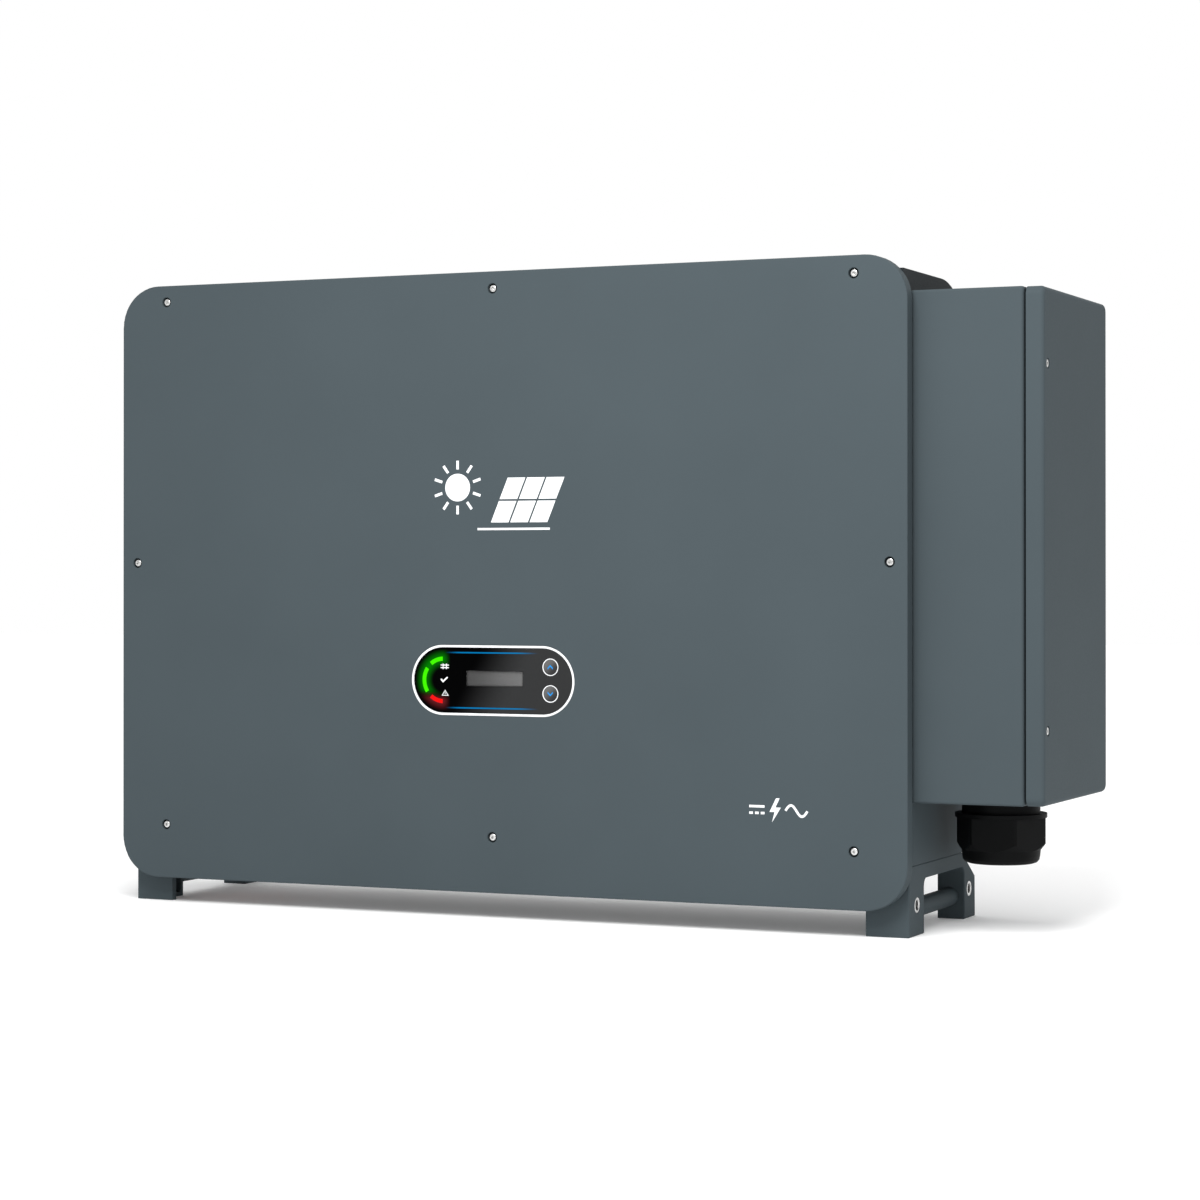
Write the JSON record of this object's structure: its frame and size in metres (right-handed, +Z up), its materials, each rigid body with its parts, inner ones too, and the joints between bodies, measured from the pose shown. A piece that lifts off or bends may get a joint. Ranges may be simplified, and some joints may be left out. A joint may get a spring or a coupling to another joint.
{
  "type": "string inverter",
  "caption": "Three-phase solar string inverter with front cover, display, fan-cooled heat sink, side wiring box with hinged door, cable gland and feet.",
  "frame": {"origin": "on the floor, under the middle of the whole box", "axes": "+Z up, +X to the right as seen from the front, towards the wiring box, +Y to the back"},
  "size_m": [1.07, 0.3, 0.696],
  "materials": {
    "grey_paint": "satin powder coat",
    "dark_paint": "satin powder coat",
    "seal_rubber": "matte",
    "stainless_steel": "satin",
    "galvanised_steel": "dull zinc",
    "bare_aluminium": "extruded",
    "black_plastic": "moulded",
    "orange_plastic": "moulded",
    "white_trim": "gloss",
    "black_gloss": "gloss",
    "clear_window": "clear",
    "grey_screen": "matte",
    "green_light": "lit",
    "red_light": "lit",
    "circuit_board": "solder resist",
    "copper": "plain copper",
    "capacitor_sleeve": "sleeved",
    "potted_choke": "potted",
    "grey_insulator": "moulded"
  },
  "bodies": {
    "body": {"front_cover": "grey_paint", "cover_gasket": "seal_rubber", "cover_screws": "stainless_steel", "main_housing": "grey_paint", "side_panel_left": "grey_paint", "side_panel_right": "grey_paint", "exhaust_hood": "dark_paint", "heat_sink": "bare_aluminium", "fan_tray": "dark_paint", "fan_frames": "black_plastic", "rear_rails": "galvanised_steel", "hanging_straps": "galvanised_steel", "strap_cleats": "stainless_steel", "leg_bracket_left": "grey_paint", "leg_bracket_right": "grey_paint", "carry_bars": "grey_paint", "lifting_inserts": "stainless_steel", "leg_screws": "stainless_steel", "display_rim": "white_trim", "display_panel": "black_gloss", "lcd_window": "clear_window", "lcd_module": "grey_screen", "button_rings": "white_trim", "status_lights_green": "green_light", "status_light_red": "red_light", "display_board": "circuit_board", "ac_box_housing": "grey_paint", "box_hinge_leaves": "stainless_steel", "hinge_pins": "stainless_steel", "gland_body": "black_plastic", "gland_nut": "black_plastic", "gland_seal": "seal_rubber", "gland_locknut": "black_plastic", "ac_terminal_block": "grey_insulator", "ac_terminal_studs": "stainless_steel", "ac_busbars": "copper", "dc_inlets": "black_plastic", "dc_inlet_caps": "black_plastic", "dc_switch_bodies": "grey_insulator", "comm_port": "black_plastic", "vent_valves": "black_plastic", "power_modules": "grey_insulator", "power_board": "circuit_board", "dc_link_capacitors": "capacitor_sleeve", "filter_inductors": "potted_choke", "control_board": "circuit_board", "surge_arresters": "grey_insulator", "current_sensors": "grey_insulator"},
    "door": {"ac_box_door": "grey_paint", "ac_box_gasket": "seal_rubber", "door_screws": "stainless_steel", "door_hinge_leaves": "stainless_steel"},
    "up_button": {"button_up": "black_plastic"},
    "down_button": {"button_down": "black_plastic"},
    "switch_1": {"dc_switch_knob_1": "orange_plastic"},
    "switch_2": {"dc_switch_knob_2": "orange_plastic"},
    "fan_1": {"fan_rotor_1": "black_plastic"},
    "fan_2": {"fan_rotor_2": "black_plastic"},
    "fan_3": {"fan_rotor_3": "black_plastic"},
    "fan_4": {"fan_rotor_4": "black_plastic"}
  },
  "joints": [
    {"name": "door_hinge", "type": "hinge", "parent": "body", "child": "door", "pos_m": [0.5152, 0.1242, 0.39875], "axis": [0, 0, 1], "range_deg": [0, 90]},
    {"name": "up_button_press", "type": "slide", "parent": "body", "child": "up_button", "axis": [0, 1, 0], "range_m": [0, 0.0015], "stiffness_N_per_m": 800, "springref_m": -0.001},
    {"name": "down_button_press", "type": "slide", "parent": "body", "child": "down_button", "axis": [0, 1, 0], "range_m": [0, 0.0015], "stiffness_N_per_m": 800, "springref_m": -0.001},
    {"name": "switch_1_turn", "type": "hinge", "parent": "body", "child": "switch_1", "pos_m": [-0.4575, -0.065, 0.06], "axis": [0, 0, 1], "range_deg": [0, 90]},
    {"name": "switch_2_turn", "type": "hinge", "parent": "body", "child": "switch_2", "pos_m": [-0.3975, -0.065, 0.06], "axis": [0, 0, 1], "range_deg": [0, 90]},
    {"name": "fan_1_spin", "type": "hinge", "parent": "body", "child": "fan_1", "pos_m": [-0.3975, 0.0495, 0.088], "axis": [0, 0, 1], "continuous": true},
    {"name": "fan_2_spin", "type": "hinge", "parent": "body", "child": "fan_2", "pos_m": [-0.1775, 0.0495, 0.088], "axis": [0, 0, 1], "continuous": true},
    {"name": "fan_3_spin", "type": "hinge", "parent": "body", "child": "fan_3", "pos_m": [0.0425, 0.0495, 0.088], "axis": [0, 0, 1], "continuous": true},
    {"name": "fan_4_spin", "type": "hinge", "parent": "body", "child": "fan_4", "pos_m": [0.2625, 0.0495, 0.088], "axis": [0, 0, 1], "continuous": true}
  ]
}
